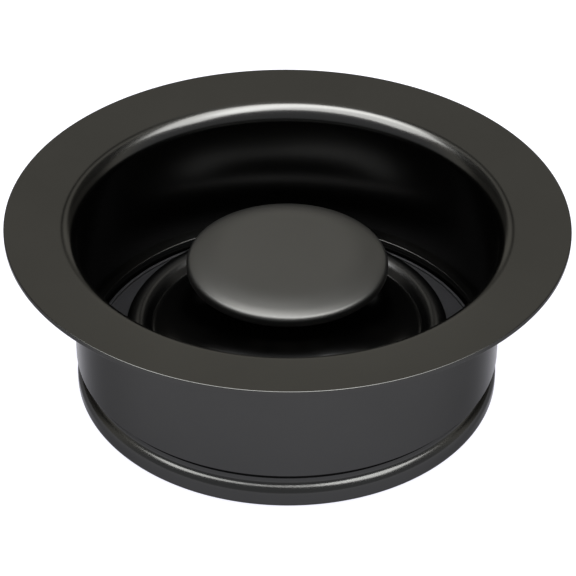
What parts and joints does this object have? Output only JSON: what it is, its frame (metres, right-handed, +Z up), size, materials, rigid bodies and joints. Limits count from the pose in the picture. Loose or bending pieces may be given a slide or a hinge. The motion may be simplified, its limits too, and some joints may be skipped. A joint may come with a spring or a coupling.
{
  "type": "waste disposal sink flange with stopper",
  "caption": "Round sink flange for a kitchen waste disposal, with a dished rim, a straight collar, a grooved foot and a lift-out stopper with a flared neck, a mushroom knob and a rubber seal.",
  "frame": {"origin": "on the central axis, at the underside of the foot", "axes": "+Z up along the central axis towards the rim; the flange is round, so +X and +Y are any two directions across it"},
  "size_m": [0.1142, 0.1142, 0.04],
  "materials": {
    "gunmetal": "satin dark vapour-deposited coating",
    "seal_rubber": "matte, moulded",
    "stainless": "mill finish",
    "zinc_steel": "bright zinc plated"
  },
  "bodies": {
    "flange": {"sink_flange": "gunmetal"},
    "seal": {"seal_ring": "seal_rubber"},
    "stopper": {"stopper_dome": "gunmetal", "knob_cap": "gunmetal", "knob_insert": "stainless", "stem_collar": "gunmetal", "stem_o_ring": "seal_rubber", "core_spacer": "stainless", "backing_plate": "stainless", "flat_washer": "stainless", "lock_washer": "zinc_steel", "hex_nut": "zinc_steel", "stem_stud": "zinc_steel"}
  },
  "joints": [
    {"name": "stopper_lift", "type": "slide", "parent": "flange", "child": "seal", "axis": [0, 0, 1], "range_m": [0, 0.06]},
    {"name": "stopper_turn", "type": "hinge", "parent": "seal", "child": "stopper", "pos_m": [0, 0, 0], "axis": [0, 0, 1], "continuous": true}
  ]
}
